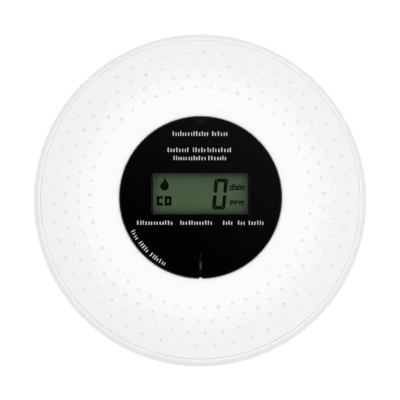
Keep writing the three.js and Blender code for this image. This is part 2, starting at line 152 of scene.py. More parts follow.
def smooth_loop(points, steps=6):
    """A smooth closed curve through the points."""
    curve = []
    count = len(points)
    for i in range(count):
        a, b, c, d = (Vector(points[(i + k) % count]) for k in (-1, 0, 1, 2))
        for step in range(steps):
            t = step / steps
            ahead = 2 * b + (c - a) * t + (2 * a - 5 * b + 4 * c - d) * t**2
            point = (ahead + (3 * b - a - 3 * c + d) * t**3) / 2
            curve.append((point.x, point.y))
    return curve


# ---------------- meshes

def bridge(bm, near, far):
    """Joins two loops of the same length, or a loop and a single point."""
    count = max(len(near), len(far))
    for i in range(count if count > 1 else 0):
        j = (i + 1) % count
        corners = [near[i % len(near)], near[j % len(near)], far[j % len(far)], far[i % len(far)]]
        bm.faces.new(list(dict.fromkeys(corners)))


def outward(bm):
    bmesh.ops.recalc_face_normals(bm, faces=bm.faces)
    return bm


def revolve(profile, segments=ROUND_SEGMENTS):
    """A closed profile of (radius, z) points turned about Z."""
    bm = bmesh.new()
    rings = []
    for radius, z in profile:
        turns = segments if radius > 0 else 1
        angles = [TAU * i / segments for i in range(turns)]
        rings.append([bm.verts.new((radius * math.cos(a), radius * math.sin(a), z)) for a in angles])
    for near, far in zip(rings, rings[1:] + rings[:1]):
        bridge(bm, near, far)
    return outward(bm)


def prism(outline, z0, z1, edge=0.0):
    """An outline raised from z0 to z1, with its top and bottom edges rounded."""
    bm = bmesh.new()
    low = [bm.verts.new((x, y, z0)) for x, y in outline]
    high = [bm.verts.new((x, y, z1)) for x, y in outline]
    bridge(bm, low, high)
    bm.faces.new(low)
    bm.faces.new(high)
    outward(bm)
    if edge:
        flat = [e for e in bm.edges if abs(e.verts[0].co.z - e.verts[1].co.z) < 1e-6]
        bmesh.ops.bevel(bm, geom=flat, offset=edge, segments=2, profile=0.5, affect="EDGES")
    return bm


def bar(x0, x1, y0, y1, z0, z1):
    """A plain box."""
    return prism(rectangle(x0, x1, y0, y1), z0, z1)


def cylinder(radius, z0, z1, at=(0, 0), segments=32):
    bm = revolve([(0, z0), (radius, z0), (radius, z1), (0, z1)], segments)
    return moved(bm, Matrix.Translation((at[0], at[1], 0)))


def cylinders(radius, z0, z1, places):
    return gathered([cylinder(radius, z0, z1, at) for at in places])


def rod(radius, x0, x1, y, z, segments=32):
    """A rod along X."""
    bm = revolve([(0, x0), (radius, x0), (radius, x1), (0, x1)], segments)
    return moved(bm, Matrix.Translation((0, y, z)) @ Matrix.Rotation(math.pi / 2, 4, "Y"))


def moved(bm, matrix):
    bm.transform(matrix)
    return bm


def turned(bm, degrees):
    return moved(bm, Matrix.Rotation(math.radians(degrees), 4, "Z"))


def sweep(path, radius, sides=10):
    """A closed wire of round section along a list of points."""
    bm = bmesh.new()
    rings = []
    angles = [TAU * k / sides for k in range(sides)]
    for i, point in enumerate(path):
        along = (path[min(i + 1, len(path) - 1)] - path[max(i - 1, 0)]).normalized()
        side = along.cross(Vector((0, 0, 1))).normalized()
        other = side.cross(along)
        section = [radius * (side * math.cos(a) + other * math.sin(a)) for a in angles]
        rings.append([bm.verts.new(point + offset) for offset in section])
    for near, far in zip(rings, rings[1:]):
        bridge(bm, near, far)
    bm.faces.new(rings[0])
    bm.faces.new(rings[-1])
    return outward(bm)


def gathered(parts):
    """Several meshes as one mesh of separate shells."""
    whole = bmesh.new()
    for part in parts:
        mesh = bpy.data.meshes.new("part")
        part.to_mesh(mesh)
        part.free()
        whole.from_mesh(mesh)
        bpy.data.meshes.remove(mesh)
    return whole


def solved(base, tool, operation):
    """One boolean between two closed meshes."""
    working = []
    for bm in (base, tool):
        mesh = bpy.data.meshes.new("working")
        bm.to_mesh(mesh)
        bm.free()
        obj = bpy.data.objects.new("working", mesh)
        bpy.context.scene.collection.objects.link(obj)
        working.append(obj)
    modifier = working[0].modifiers.new("boolean", "BOOLEAN")
    modifier.operation = operation
    modifier.solver = "MANIFOLD"
    modifier.object = working[1]
    bpy.context.view_layer.update()
    evaluated = working[0].evaluated_get(bpy.context.evaluated_depsgraph_get())
    result = bmesh.new()
    result.from_mesh(evaluated.to_mesh())
    for obj in working:
        bpy.data.meshes.remove(obj.data)
    return result


def carved(base, added=(), removed=()):
    for part in added:
        base = solved(base, part, "UNION")
    for part in removed:
        base = solved(base, part, "DIFFERENCE")
    return base


SHARP_DEGREES = 35


def piece(name, bm, body, material, replaces=(), even=True):
    """Turns a millimetre mesh into a finished piece that rides on a body."""
    moved(bm, Matrix.Scale(MM, 4))
    mesh = bpy.data.meshes.new(name)
    bm.to_mesh(mesh)
    bm.free()
    mesh.shade_smooth()
    mesh.set_sharp_from_angle(angle=math.radians(SHARP_DEGREES))
    mesh.materials.append(material)
    obj = bpy.data.objects.new(name, mesh)
    bpy.context.scene.collection.objects.link(obj)
    if even:
        obj.modifiers.new("even_normals", "WEIGHTED_NORMAL").keep_sharp = True
    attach(obj, body)
    if replaces:
        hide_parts(*replaces)
    return obj


# ---------------- materials

class Tree:
    """Adds nodes to a node tree and links them."""

    def __init__(self, tree):
        self.tree = tree

    def add(self, kind, inputs=(), **values):
        node = self.tree.nodes.new(kind)
        for key, value in values.items():
            setattr(node, key, value)
        for key, value in dict(inputs).items():
            node.inputs[key].default_value = value
        return node

    def link(self, source, target):
        self.tree.links.new(source, target)


class Nodes(Tree):
    """Builds one node material around a Principled shader."""

    def __init__(self, name):
        self.material = bpy.data.materials.new(name)
        self.material.use_nodes = True
        super().__init__(self.material.node_tree)
        self.shader = self.tree.nodes["Principled BSDF"]
        self.output = self.tree.nodes["Material Output"]
        self.place = self.add("ShaderNodeTexCoord").outputs["Object"]

    def noise(self, size, detail=3.0):
        """Noise whose features are about size millimetres across."""
        mapping = self.add("ShaderNodeMapping", {"Scale": (1 / (size * MM),) * 3})
        self.link(self.place, mapping.inputs["Vector"])
        node = self.add("ShaderNodeTexNoise", {"Scale": 1.0, "Detail": detail})
        self.link(mapping.outputs["Vector"], node.inputs["Vector"])
        return node.outputs["Fac"]

    def spread(self, value, low, high):
        """A 0 to 1 value mapped to a range."""
        node = self.add("ShaderNodeMapRange", {"To Min": low, "To Max": high})
        self.link(value, node.inputs["Value"])
        return node.outputs["Result"]

    def tint(self, value, low, high):
        """A 0 to 1 value mapped from one colour to another."""
        node = self.add("ShaderNodeMix", data_type="RGBA")
        for end, colour in (("A", low), ("B", high)):
            node.inputs[end].default_value = (*colour, 1)
        self.link(value, node.inputs["Factor"])
        return node.outputs["Result"]

    def colour(self, value, low, high):
        """The shader's colour, from one colour to another."""
        self.link(self.tint(value, low, high), self.shader.inputs["Base Color"])

    def roughness(self, value, low, high):
        """The shader's roughness, over a range."""
        self.link(self.spread(value, low, high), self.shader.inputs["Roughness"])

    def bump(self, height, depth):
        """Relief of about depth millimetres."""
        node = self.add("ShaderNodeBump", {"Strength": 1.0, "Distance": depth * MM})
        self.link(height, node.inputs["Height"])
        self.link(node.outputs["Normal"], self.shader.inputs["Normal"])

    def set(self, **values):
        for key, value in values.items():
            self.shader.inputs[key.replace("_", " ")].default_value = value
        return self


def scaled(colour, factor):
    return tuple(min(1.0, c * factor) for c in colour)


def moulded(name, colour, roughness, grain=0.35, depth=0.003, drift=0.02, **extra):
    """Moulded plastic: fine grain, a slow drift in tone and slightly uneven gloss."""
    nodes = Nodes(name)
    nodes.colour(nodes.noise(28), scaled(colour, 1 - drift), scaled(colour, 1 + drift))
    nodes.roughness(nodes.noise(6, 5), roughness * 0.85, roughness * 1.15)
    nodes.bump(nodes.noise(grain, 4), depth)
    return nodes.set(**extra).material


def metal(name, colour, roughness):
    """Bare metal with a fine uneven surface."""
    nodes = Nodes(name)
    fine = nodes.noise(0.4, 5)
    nodes.colour(fine, scaled(colour, 0.88), scaled(colour, 1.06))
    nodes.roughness(fine, roughness * 0.7, roughness * 1.4)
    nodes.bump(fine, 0.002)
    return nodes.set(Metallic=1.0).material


def circuit_board():
    """Green solder mask over copper tracks that show as faint lighter lines."""
    nodes = Nodes("board_mask")
    tracks = nodes.add("ShaderNodeTexBrick", {"Scale": 220.0, "Mortar Size": 0.03}, offset=0.5)
    nodes.link(nodes.place, tracks.inputs["Vector"])
    nodes.colour(tracks.outputs["Fac"], (0.012, 0.115, 0.04), (0.03, 0.2, 0.075))
    nodes.roughness(nodes.noise(3), 0.25, 0.4)
    nodes.bump(tracks.outputs["Fac"], 0.02)
    return nodes.material


def readout_glass(name, colour):
    """The readout's satin polariser, slightly cloudy."""
    nodes = Nodes(name)
    nodes.colour(nodes.noise(9, 2), scaled(colour, 0.9), scaled(colour, 1.1))
    nodes.roughness(nodes.noise(2), 0.18, 0.26)
    nodes.bump(nodes.noise(0.12, 2), 0.0003)
    return nodes.set(Specular_IOR_Level=0.2).material


def clear_pane():
    """A thin clear sheet: light passes straight through, apart from what its surface mirrors."""
    nodes = Nodes("clear_pane")
    nodes.tree.nodes.remove(nodes.shader)
    see_through = nodes.add("ShaderNodeBsdfTransparent")
    haze = nodes.tint(nodes.noise(12), (0.93, 0.95, 0.93), (0.96, 0.97, 0.96))
    nodes.link(haze, see_through.inputs["Color"])
    mirror = nodes.add("ShaderNodeBsdfGlossy")
    nodes.link(nodes.spread(nodes.noise(5), 0.01, 0.03), mirror.inputs["Roughness"])
    fresnel = nodes.add("ShaderNodeFresnel", {"IOR": 1.3})
    mix = nodes.add("ShaderNodeMixShader")
    nodes.link(fresnel.outputs["Fac"], mix.inputs["Fac"])
    nodes.link(see_through.outputs["BSDF"], mix.inputs[1])
    nodes.link(mirror.outputs["BSDF"], mix.inputs[2])
    nodes.link(mix.outputs["Shader"], nodes.output.inputs["Surface"])
    return nodes.material


CELL_BAND_HALF = 4.2


def cell_sleeve():
    """Printed film shrunk round a cell: a dark body with one paler band."""
    nodes = Nodes("cell_sleeve_film")
    split = nodes.add("ShaderNodeSeparateXYZ")
    nodes.link(nodes.place, split.inputs["Vector"])
    in_band = nodes.add("ShaderNodeMath", {1: 0.0, 2: CELL_BAND_HALF * MM}, operation="COMPARE")
    nodes.link(split.outputs["X"], in_band.inputs[0])
    nodes.colour(in_band.outputs["Value"], (0.03, 0.09, 0.24), (0.62, 0.65, 0.68))
    nodes.roughness(nodes.noise(9, 1), 0.26, 0.34)
    nodes.bump(nodes.noise(6, 1), 0.004)
    return nodes.material


def screen_mesh():
    """Fine etched steel screen."""
    nodes = Nodes("screen_mesh")
    holes = nodes.add("ShaderNodeTexVoronoi", {"Scale": 900.0})
    nodes.link(nodes.place, holes.inputs["Vector"])
    nodes.colour(holes.outputs["Distance"], (0.05,) * 3, (0.6,) * 3)
    nodes.roughness(holes.outputs["Distance"], 0.3, 0.5)
    nodes.bump(holes.outputs["Distance"], 0.05)
    return nodes.set(Metallic=1.0).material


cover_white = moulded("cover_white", (0.80, 0.80, 0.79), 0.42, depth=0.0015, drift=0.006,
                      Specular_IOR_Level=0.22)
# Painted shade: the housing's white is set about six per cent darker than the cover's so that its rounded rim
# round the seam reads darker, as the light falls off there.
housing_shaded_white = moulded("housing_shaded_white", (0.752, 0.752, 0.742), 0.45, depth=0.002, drift=0.006,
                        Specular_IOR_Level=0.2)
bracket_white = moulded("bracket_white", (0.74, 0.74, 0.725), 0.55, grain=0.5, depth=0.006)
door_white = moulded("door_white", (0.78, 0.78, 0.77), 0.5, depth=0.003)
panel_black = moulded("panel_black", (0.0006, 0.0006, 0.0009), 0.04, grain=14, depth=0.0, drift=0.2)
part_black = moulded("part_black", (0.018, 0.018, 0.02), 0.55, depth=0.005, drift=0.1)
guide_smoke = moulded("guide_smoke", (0.0026, 0.0026, 0.0028), 0.2, grain=0.8, depth=0.002, drift=0.1)
guide_frost = moulded("guide_frost", (0.03, 0.03, 0.032), 0.3, grain=0.8, depth=0.002, drift=0.1)
print_white = moulded("print_white", (0.45, 0.45, 0.45), 0.6, grain=0.15, depth=0.001)
pale_plastic = moulded("pale_plastic", (0.72, 0.72, 0.69), 0.45, depth=0.004)
red_resin = moulded("red_resin", (0.42, 0.02, 0.015), 0.15, grain=1.5, depth=0.002, Coat_Weight=0.5)
clear_resin = moulded("clear_resin", (0.30, 0.34, 0.42), 0.12, grain=1.5, depth=0.002, Coat_Weight=0.5)
grey_rubber = moulded("grey_rubber", (0.12, 0.12, 0.12), 0.8, grain=0.2, depth=0.008)
label_film = moulded("label_film", (0.60, 0.60, 0.59), 0.35, grain=1.0, depth=0.001)
nickel = metal("nickel", (0.62, 0.61, 0.58), 0.25)
spring_steel = metal("spring_steel", (0.56, 0.56, 0.57), 0.3)
bright_brass = metal("bright_brass", (0.74, 0.53, 0.24), 0.28)
print_dark = moulded("print_dark", (0.06, 0.06, 0.065), 0.6, grain=0.2, depth=0.001)
cell_film = cell_sleeve()
lcd_border = readout_glass("lcd_border", (0.078, 0.1, 0.072))
lcd_field = readout_glass("lcd_field", (0.094, 0.138, 0.075))
lcd_mark = readout_glass("lcd_mark", (0.002, 0.005, 0.003))


# ---------------- front cover

DIMPLE_RING_R = 43.4
DIMPLE_RING_STEP = 4.9
DIMPLE_RINGS = 4
DIMPLES_PER_RING = 50
FIRST_COLUMN = math.radians(2.1)
# Each step down a dimple's wall: its radius and its depth.
DIMPLE_PROFILE = ((0.9, 0.0), (0.78, 0.06), (0.65, 0.33), (0.49, 0.62), (0.26, 0.8))
DIMPLE_DEPTH = 0.86
# The crease round the plateau: each ring's distance outside the plateau's edge, and how far it sinks.
CREASE = ((1.6, 0), (0.7, 0), (0.3, 0.05), (0.0, 0.08), (-0.3, 0.04), (-0.7, -0.01))
# The rounded mouth of the panel's opening: distance outside the opening, and below the top.
MOUTH = ((2.4, 0.06), (0.6, 0.01), (0.25, 0.03), (0.1, 0.08), (0.02, 0.18), (0.0, 0.3))
SLEEVE_WALL = 1.6
SLEEVE_FOOT_Z = 31
COVER_LIP = (60.7, 61.9, 18.6)
UNDER_DOME_RADII = (42, 46, 50, 54, 58)
CELL_COLUMNS = 4
COLUMNS = DIMPLES_PER_RING * CELL_COLUMNS


def dome_height(radius):
    """The cover's outer surface between the plateau and the seam."""
    share = (SEAM_R - radius) / (SEAM_R - PLATEAU_R)
    return DOME_Z + (PLATEAU_Z - DOME_Z) * math.sin(min(share, 1) * math.pi / 2)


def polar(radius, angle, z):
    return (radius * math.cos(angle), radius * math.sin(angle), z)


def column_angle(column):
    return FIRST_COLUMN + TAU * column / COLUMNS


def cell_edge(lines, row, column):
    """The sixteen grid points round one dimple's cell, anticlockwise from its +angle side."""
    half = CELL_COLUMNS // 2
    steps = [(half, 0), (half, 1), (half, 2), (1, 2), (0, 2), (-1, 2), (-half, 2), (-half, 1)]
    steps += [(-across, -along) for across, along in steps]
    return [lines[row + along][(column + across) % COLUMNS] for across, along in steps]


def add_dimple(bm, edge, radius, angle):
    """Sinks a shallow round hollow inside a cell of the dome's grid."""
    loop = edge
    count = len(edge)
    for size, depth in DIMPLE_PROFILE:
        ring = []
        for i in range(count):
            turn = TAU * i / count
            r = radius + size * math.sin(turn)
            a = angle + size * math.cos(turn) / radius
            ring.append(bm.verts.new(polar(r, a, dome_height(r) - depth)))
        bridge(bm, loop, ring)
        loop = ring
    bridge(bm, loop, [bm.verts.new(polar(radius, angle, dome_height(radius) - DIMPLE_DEPTH))])


def front_cover():
    """The dome with its four rings of dimples, then its rim, underside and opening."""
    bm = bmesh.new()

    def line(radius, z, columns=range(COLUMNS)):
        return {c: bm.verts.new(polar(radius, column_angle(c), z)) for c in columns}

    def join(near, far):
        bridge(bm, [near[c] for c in range(COLUMNS)], [far[c] for c in range(COLUMNS)])

    first_row_r = DIMPLE_RING_R - DIMPLE_RING_STEP / 2
    rows = DIMPLE_RINGS * CELL_COLUMNS + 1
    lines = []
    for row in range(rows):
        ring = min(row // CELL_COLUMNS, DIMPLE_RINGS - 1)
        on_cell_edge = row % CELL_COLUMNS == 0
        edges = range((ring % 2) * 2, COLUMNS, CELL_COLUMNS)
        radius = first_row_r + DIMPLE_RING_STEP * row / CELL_COLUMNS
        lines.append(line(radius, dome_height(radius), range(COLUMNS) if on_cell_edge else edges))
    for ring in range(DIMPLE_RINGS):
        middle = ring * CELL_COLUMNS + CELL_COLUMNS // 2
        radius = DIMPLE_RING_R + DIMPLE_RING_STEP * ring
        for column in range(2 - (ring % 2) * 2, COLUMNS, CELL_COLUMNS):
            add_dimple(bm, cell_edge(lines, middle, column), radius, column_angle(column))

    last_row_r = first_row_r + DIMPLE_RING_STEP * DIMPLE_RINGS
    outer = [last_row_r + (SEAM_R - 0.35 - last_row_r) * i / 3 for i in (1, 2, 3)]
    foot_z = LEDGE_Z + 0.3
    rim = rounded([(SEAM_R - 0.6, dome_height(SEAM_R - 0.6), 0), (SEAM_R, DOME_Z + 0.02, 0.08),
                   (SEAM_R, foot_z, 0)])[1:-1]
    crease = [(PLATEAU_R + dr, dome_height(PLATEAU_R + dr) - sink) for dr, sink in CREASE]
    mouth_z = PLATEAU_Z + PLATEAU_RISE
    mouth = [(OPENING_R + dr, mouth_z - sink) for dr, sink in MOUTH] + [(OPENING_R, SLEEVE_FOOT_Z)]
    inner_lip, outer_lip, lip_z = COVER_LIP
    sleeve_r = OPENING_R + SLEEVE_WALL
    under = [(sleeve_r, SLEEVE_FOOT_Z), (sleeve_r, PLATEAU_Z - COVER_WALL)]
    under += [(r, dome_height(r) - COVER_WALL) for r in (PLATEAU_R, *UNDER_DOME_RADII, inner_lip)]
    under += [(inner_lip, lip_z), (outer_lip, lip_z), (outer_lip, foot_z)]

    inward = [line(r, z) for r, z in crease + mouth + under]
    for near, far in zip([lines[0]] + inward, inward):
        join(near, far)
    outer_lines = [line(r, dome_height(r)) for r in outer] + [line(r, z) for r, z in rim]
    outer_lines.append(line(SEAM_R, foot_z))
    for near, far in zip([lines[-1]] + outer_lines, outer_lines):
        join(near, far)
    join(outer_lines[-1], inward[-1])
    outward(bm)

    inside_r = SEAM_R - 1
    under_dome = [(0, 10), (inside_r, 10)]
    under_dome += [(r, dome_height(r) - 1) for r in (inside_r, *reversed(UNDER_DOME_RADII))]
    bosses = solved(cylinders(COVER_BOSS_R, 10.5, PLATEAU_Z, CORNERS),
                    revolve(under_dome + [(0, PLATEAU_Z - 1)]), "INTERSECT")
    pilots = cylinders(CASE_SCREW_HOLE_R, 10, 22, CORNERS)
    key = cylinder(0.75, 33, mouth_z - 0.02, (0, -OPENING_R - 0.3), 32)
    return carved(bm, [bosses, key], [pilots])


piece("front_cover_moulding", front_cover(), "alarm", cover_white, ["front_cover"])


# ---------------- rear housing

HINGE_Y, HINGE_Z = 1.5, 6.3
VENT_HALF = 1.4
VENT_Z = (8.6, 15.0)
# From inside to outside: each station's radius and how much wider than the slot it is.
VENT_STATIONS = ((60.0, 0.0), (64.3, 0.0), (66.6, 0.55))
CELL_ROOM = (-19.4, 19.4, -37.6, -1.6)
CELL_ROOM_WALL = 1.2
CELL_ROOM_CEILING = (24.1, 25.1)


def both_sides(make, near, far):
    """The same shape made on each side of the YZ plane, between two distances from it."""
    return gathered([make(near, far), make(-far, -near)])


def shoulder(steps=14):
    """The rounded shoulder from the skirt up to the lip beside the seam."""
    half = OUTER_R - SHOULDER_R
    end = math.acos((SHOULDER_END_R - SHOULDER_R) / half)
    turns = [end * i / steps for i in range(steps + 1)]
    return [(SHOULDER_R + half * math.cos(t), SHOULDER_Z + SHOULDER_RISE * math.sin(t)) for t in turns]


def vent_cutter():
    """One slot through the skirt, wider at its mouth."""
    z0, z1 = VENT_Z
    bm = bmesh.new()
    loops = []
    for radius, flare in VENT_STATIONS:
        half = VENT_HALF + flare
        outline = rectangle(-half, half, z0 - flare, z1 + flare, 1.2 + flare, 5)
        loops.append([bm.verts.new((radius, y, z)) for y, z in outline])
    for near, far in zip(loops, loops[1:]):
        bridge(bm, near, far)
    bm.faces.new(loops[0])
    bm.faces.new(loops[-1])
    return outward(bm)


def rear_housing():
    """The shell with its cell room, posts, bosses and twist tabs, then its vents, recesses and holes."""
    plate_low, plate_high = PLATE_Z
    top = shoulder()
    lip_z = top[-1][1]
    skirt_foot = [(61.2, SKIRT_Z + 0.3), (61.5, SKIRT_Z), (62.6, SKIRT_Z), (63.0, SKIRT_Z + 0.12),
                  (63.25, SKIRT_Z + 0.45)]
    inner_r = SEAM_R + SEAM_GAP
    lip = [(63.78, lip_z + 0.03), (inner_r + 0.3, lip_z + 0.04), (inner_r + 0.08, lip_z),
           (inner_r, lip_z - 0.12), (inner_r, LEDGE_Z), (62.2, LEDGE_Z)]
    inside = [(62.2, 17.5), (64.0, 15.5), (62.4, plate_high + 0.5), (61.9, plate_high), (0, plate_high)]
    shell = revolve([(0, plate_low), (61.3, plate_low)] + skirt_foot + top + lip + inside)

    x0, x1, y0, y1 = CELL_ROOM
    wall = CELL_ROOM_WALL
    added = [
        gathered([prism(ring_band(57.5, 61.7, a - 6, a + 6), 0.9, 2.7, 0.2) for a in LUG_ANGLES]),
        bar(x0 - wall, x1 + wall, y0 - wall, y1 + wall, plate_low + 0.5, CELL_ROOM_CEILING[1]),
        both_sides(lambda a, b: bar(a, b, 0.1, 3.1, plate_low, 8.2), 14.4, 17),
        cylinders(POST_R, plate_low + 1, 25.2, POSTS),
        cylinders(HOUSING_BOSS_R, plate_low + 1, 10.2, CORNERS),
    ]

    scoop = revolve([(0, 0), (4.2, 0), (5.4, -1.9), (0, -1.9)], 48)
    removed = [
        gathered([turned(vent_cutter(), 360 * (i + 0.5) / VENTS) for i in range(VENTS)]),
        bar(*CELL_ROOM, plate_low - 1, CELL_ROOM_CEILING[0]),
        prism(rectangle(-20.2, 20.2, DOOR_LOW.y - 0.4, -0.2, 1.2), plate_low - 1, DOOR_HIGH.z - 0.4),
        moved(scoop, Matrix.Translation((0, DOOR_LOW.y - 2.4, plate_low + 0.9))),
        both_sides(lambda a, b: bar(a, b, -0.6, 3.1, plate_low - 1, plate_high + 1), 7.6, 14.4),
        both_sides(lambda a, b: rod(0.9, a, b, HINGE_Y, HINGE_Z), 14, 16.3),
        cylinders(BOARD_SCREW_HOLE_R, 16, 26, POSTS),
        cylinders(SCREW_HEAD_HOLE_R, plate_low - 1, 7.6, CORNERS),
        cylinders(CASE_SCREW_HOLE_R, 7, 11, CORNERS),
    ]
    return carved(shell, added, removed)


piece("rear_housing_moulding", rear_housing(), "alarm", housing_shaded_white, ["rear_housing"])


# ---------------- mounting bracket

BRACKET_R = 57
KEYHOLE_HEAD_R = 4.5
SLOT_HALF = 2.5
THROUGH = (-1, 3)
HOLLOW_ANGLES = (30, 60, 120, 150, 210, 240, 300, 330)


def slot_band(start, end):
    """A sector as wide as a screw slot, on the circle of the wall screws."""
    return prism(ring_band(SCREW_CIRCLE_R - SLOT_HALF, SCREW_CIRCLE_R + SLOT_HALF, start, end), *THROUGH)


def bracket_keyhole(side):
    """A screw-head hole that narrows into an arc slot, so that a small turn locks it."""
    head = cylinder(KEYHOLE_HEAD_R, *THROUGH, (0, side * SCREW_CIRCLE_R), 48)
    return solved(head, slot_band(90 * side, 90 * side + 11), "UNION")


def arc_slot(degrees):
    """A curved slot with round ends, for a screw that can be turned to level the alarm."""
    ends = (degrees - 8, degrees + 8)
    slot = slot_band(*ends)
    for end in ends:
        at = polar(SCREW_CIRCLE_R, math.radians(end), 0)[:2]
        slot = solved(slot, cylinder(SLOT_HALF, *THROUGH, at, 40), "UNION")
    return slot


def mounting_bracket():
    """A ring with twist lugs and their stops, screw slots and keyholes, and moulded hollows."""
    inner, wall_in, lip_r = 45, 55, 46.2
    profile = rounded([(inner, 0, 0.2), (BRACKET_R, 0, 0.3), (BRACKET_R, BRACKET_TOP, 0.3),
                       (wall_in, BRACKET_TOP, 0.3), (wall_in, 2, 0.4), (lip_r, 2, 0.3), (lip_r, 3, 0.3),
                       (inner, 3, 0.3)], 3)

    def bands(start, end, bottom, edge):
        outlines = [ring_band(BRACKET_R - 0.5, LUG_TIP_R, a + start, a + end) for a in LUG_ANGLES]
        return gathered([prism(outline, bottom, BRACKET_TOP, edge) for outline in outlines])

    slots = [arc_slot(0), arc_slot(180), bracket_keyhole(1), bracket_keyhole(-1)]
    hollows = [turned(bar(47.2, 53.6, -3.4, 3.4, 1.2, 3), a) for a in HOLLOW_ANGLES]
    return carved(revolve(profile), [bands(-6.4, 6, 3, 0.25), bands(-8, -6.3, SKIRT_Z, 0.2)],
                  [gathered(slots), gathered(hollows)])


piece("bracket_moulding", mounting_bracket(), "bracket", bracket_white,
      ["mounting_bracket"])


# ---------------- battery door

LID_HALF = 19.8
LID_TOP = 6.8
KNUCKLE = (8, 14)


def battery_door():
    """A flat lid with two hinge knuckles, stub pins, and a thumb latch on its free edge."""
    y0, y1, z0, z1 = DOOR_LOW.y, -0.6, DOOR_LOW.z, DOOR_HIGH.z
    lid = prism(rectangle(-LID_HALF, LID_HALF, y0, y1, 1.0), z0, LID_TOP, 0.25)
    arms = both_sides(lambda a, b: bar(a, b, y1 - 0.5, HINGE_Y, z0 + 0.1, LID_TOP), *KNUCKLE)
    knuckles = both_sides(lambda a, b: rod(1.1, a, b, HINGE_Y, HINGE_Z, 48), *KNUCKLE)
    pins = both_sides(lambda a, b: rod(0.7, a, b, HINGE_Y, HINGE_Z), 13, 16)
    latch = both_sides(lambda a, b: bar(a, b, y0 - 1, y0 + 7, z0 - 1, z1 + 1), 4.6, 5.4)
    grips = [prism(rectangle(-3.4, 3.4, y - 0.3, y + 0.3, 0.29), z0 - 1, z0 + 0.4)
             for y in (y0 + 2, y0 + 3.6, y0 + 5.2)]
    panel_line = solved(prism(rectangle(-16.5, 16.5, y0 + 10, y1 - 4, 2.0), z0 - 1, z0 + 0.25),
                        prism(rectangle(-16.1, 16.1, y0 + 10.4, y1 - 4.4, 1.6), z0 - 2, z0 + 2), "DIFFERENCE")
    return carved(lid, [arms, knuckles, pins], [latch, gathered(grips), panel_line])


piece("battery_door_moulding", battery_door(), "battery_door", door_white, ["battery_door"])


# ---------------- display panel

PANEL_CROWN = 0.25
FIT_GAP = 0.1
CUT_Z = (33, 37)
GUIDE_FOOT_Z = 32
GUIDE_T = ((-3.0, 3.0, 29.8, 31.0), (-1.6, 1.6, 28.4, 30.0))
GUIDE_LINE = (-0.35, 0.35, -30.4, -21.6)
FROSTED_Y = (-28.2, -25.3)


def crown(radius):
    """Height of the panel's slightly domed face."""
    return PANEL_TOP - PANEL_CROWN * (radius / PANEL_R) ** 2


def crowned_disc(radius, bottom, drop=0.0):
    """A disc under the panel's domed face, or a little below it."""
    top = [(r, crown(r) - drop, 0) for r in (28, 24, 20, 16, 12, 8, 4, 0)]
    edge = [(0, bottom, 0), (radius, bottom, 0.15), (radius, crown(radius) - drop, 0.12)]
    return revolve(rounded(edge + top, 5))


def crowned_inset(outline, bottom, drop=0.0):
    """A piece of some outline, let into the panel with its top on the panel's dome."""
    return solved(crowned_disc(PANEL_R - 0.4, bottom, drop), prism(outline, bottom - 1, PANEL_TOP + 1),
                  "INTERSECT")


def window_outline(left, right, ends, radius):
    """The window's outline, moved in by a distance at the left, the right and both ends."""
    return rectangle(WINDOW_LOW.x + left, WINDOW_HIGH.x - right, WINDOW_LOW.y + ends, WINDOW_HIGH.y - ends,
                     radius)


def guide_t_outline(grow=0.0):
    """The upper guide's outline: a wide bar at the top on a narrower foot."""
    wide, foot = GUIDE_T
    return rounded([
        (foot[0] - grow, foot[2] - grow, 0.4), (foot[1] + grow, foot[2] - grow, 0.4),
        (foot[1] + grow, wide[2] - grow, 0.2), (wide[1] + grow, wide[2] - grow, 0.3),
        (wide[1] + grow, wide[3] + grow, 0.3), (wide[0] - grow, wide[3] + grow, 0.3),
        (wide[0] - grow, wide[2] - grow, 0.3), (foot[0] - grow, wide[2] - grow, 0.2),
    ])


def display_panel():
    """The disc with its openings for the window and the light guides, and a notch that keeps it upright."""
    gap = FIT_GAP
    x0, x1, y0, y1 = GUIDE_LINE
    return carved(crowned_disc(PANEL_R, PANEL_LOW.z), (), [
        prism(window_outline(-gap, -gap, -gap, 0.35), *CUT_Z),
        prism(guide_t_outline(gap), *CUT_Z),
        prism(rectangle(x0 - gap, x1 + gap, y0 - gap, y1 + gap, 0.3), *CUT_Z),
        cylinder(0.9, *CUT_Z, (0, -PANEL_R - 0.1), 40),
    ])


def upper_guide():
    """The guide's face, flush with the panel, and its stem down towards the lamp."""
    stem = bar(-1.5, 1.5, 28.6, 30.4, 31.4, GUIDE_FOOT_Z + 0.5)
    return carved(crowned_inset(guide_t_outline(), GUIDE_FOOT_Z, 0.02), [stem])


def line_guide_part(y0, y1, bottom=GUIDE_FOOT_Z, drop=0.02):
    """A length of the lower guide's line."""
    return crowned_inset(rectangle(GUIDE_LINE[0], GUIDE_LINE[1], y0, y1, 0.2), bottom, drop)


def window_border():
    """A thin black border printed under the window's edges."""
    outer = prism(window_outline(0, 0, 0, 0.3), WINDOW_LOW.z - 0.1, WINDOW_LOW.z - 0.02)
    inner = prism(window_outline(0.35, 0.42, 0.08, 0.2), WINDOW_LOW.z - 1, WINDOW_LOW.z + 1)
    return solved(outer, inner, "DIFFERENCE")


piece("display_panel_disc", display_panel(), "test_button", panel_black, ["display_panel"])
pane = crowned_inset(window_outline(0, 0, 0, 0.3), WINDOW_LOW.z, 0.1)
piece("display_window_pane", pane, "test_button", clear_pane(), ["display_window"])
piece("window_border_print", window_border(), "test_button", panel_black)
piece("upper_guide_lens", upper_guide(), "test_button", guide_smoke, ["light_guide_upper"])
clear_ends = [line_guide_part(GUIDE_LINE[2], FROSTED_Y[0] - 0.05),
              line_guide_part(FROSTED_Y[1] + 0.05, GUIDE_LINE[3])]
piece("lower_guide_lens", gathered(clear_ends), "test_button", guide_smoke,
      ["light_guide_lower"])
piece("lower_guide_frost", line_guide_part(*FROSTED_Y, 31.6, 0.01), "test_button", guide_frost)


# ---------------- greeked printing

PRINT_RISE = 0.02
PRINT_SINK = 0.06
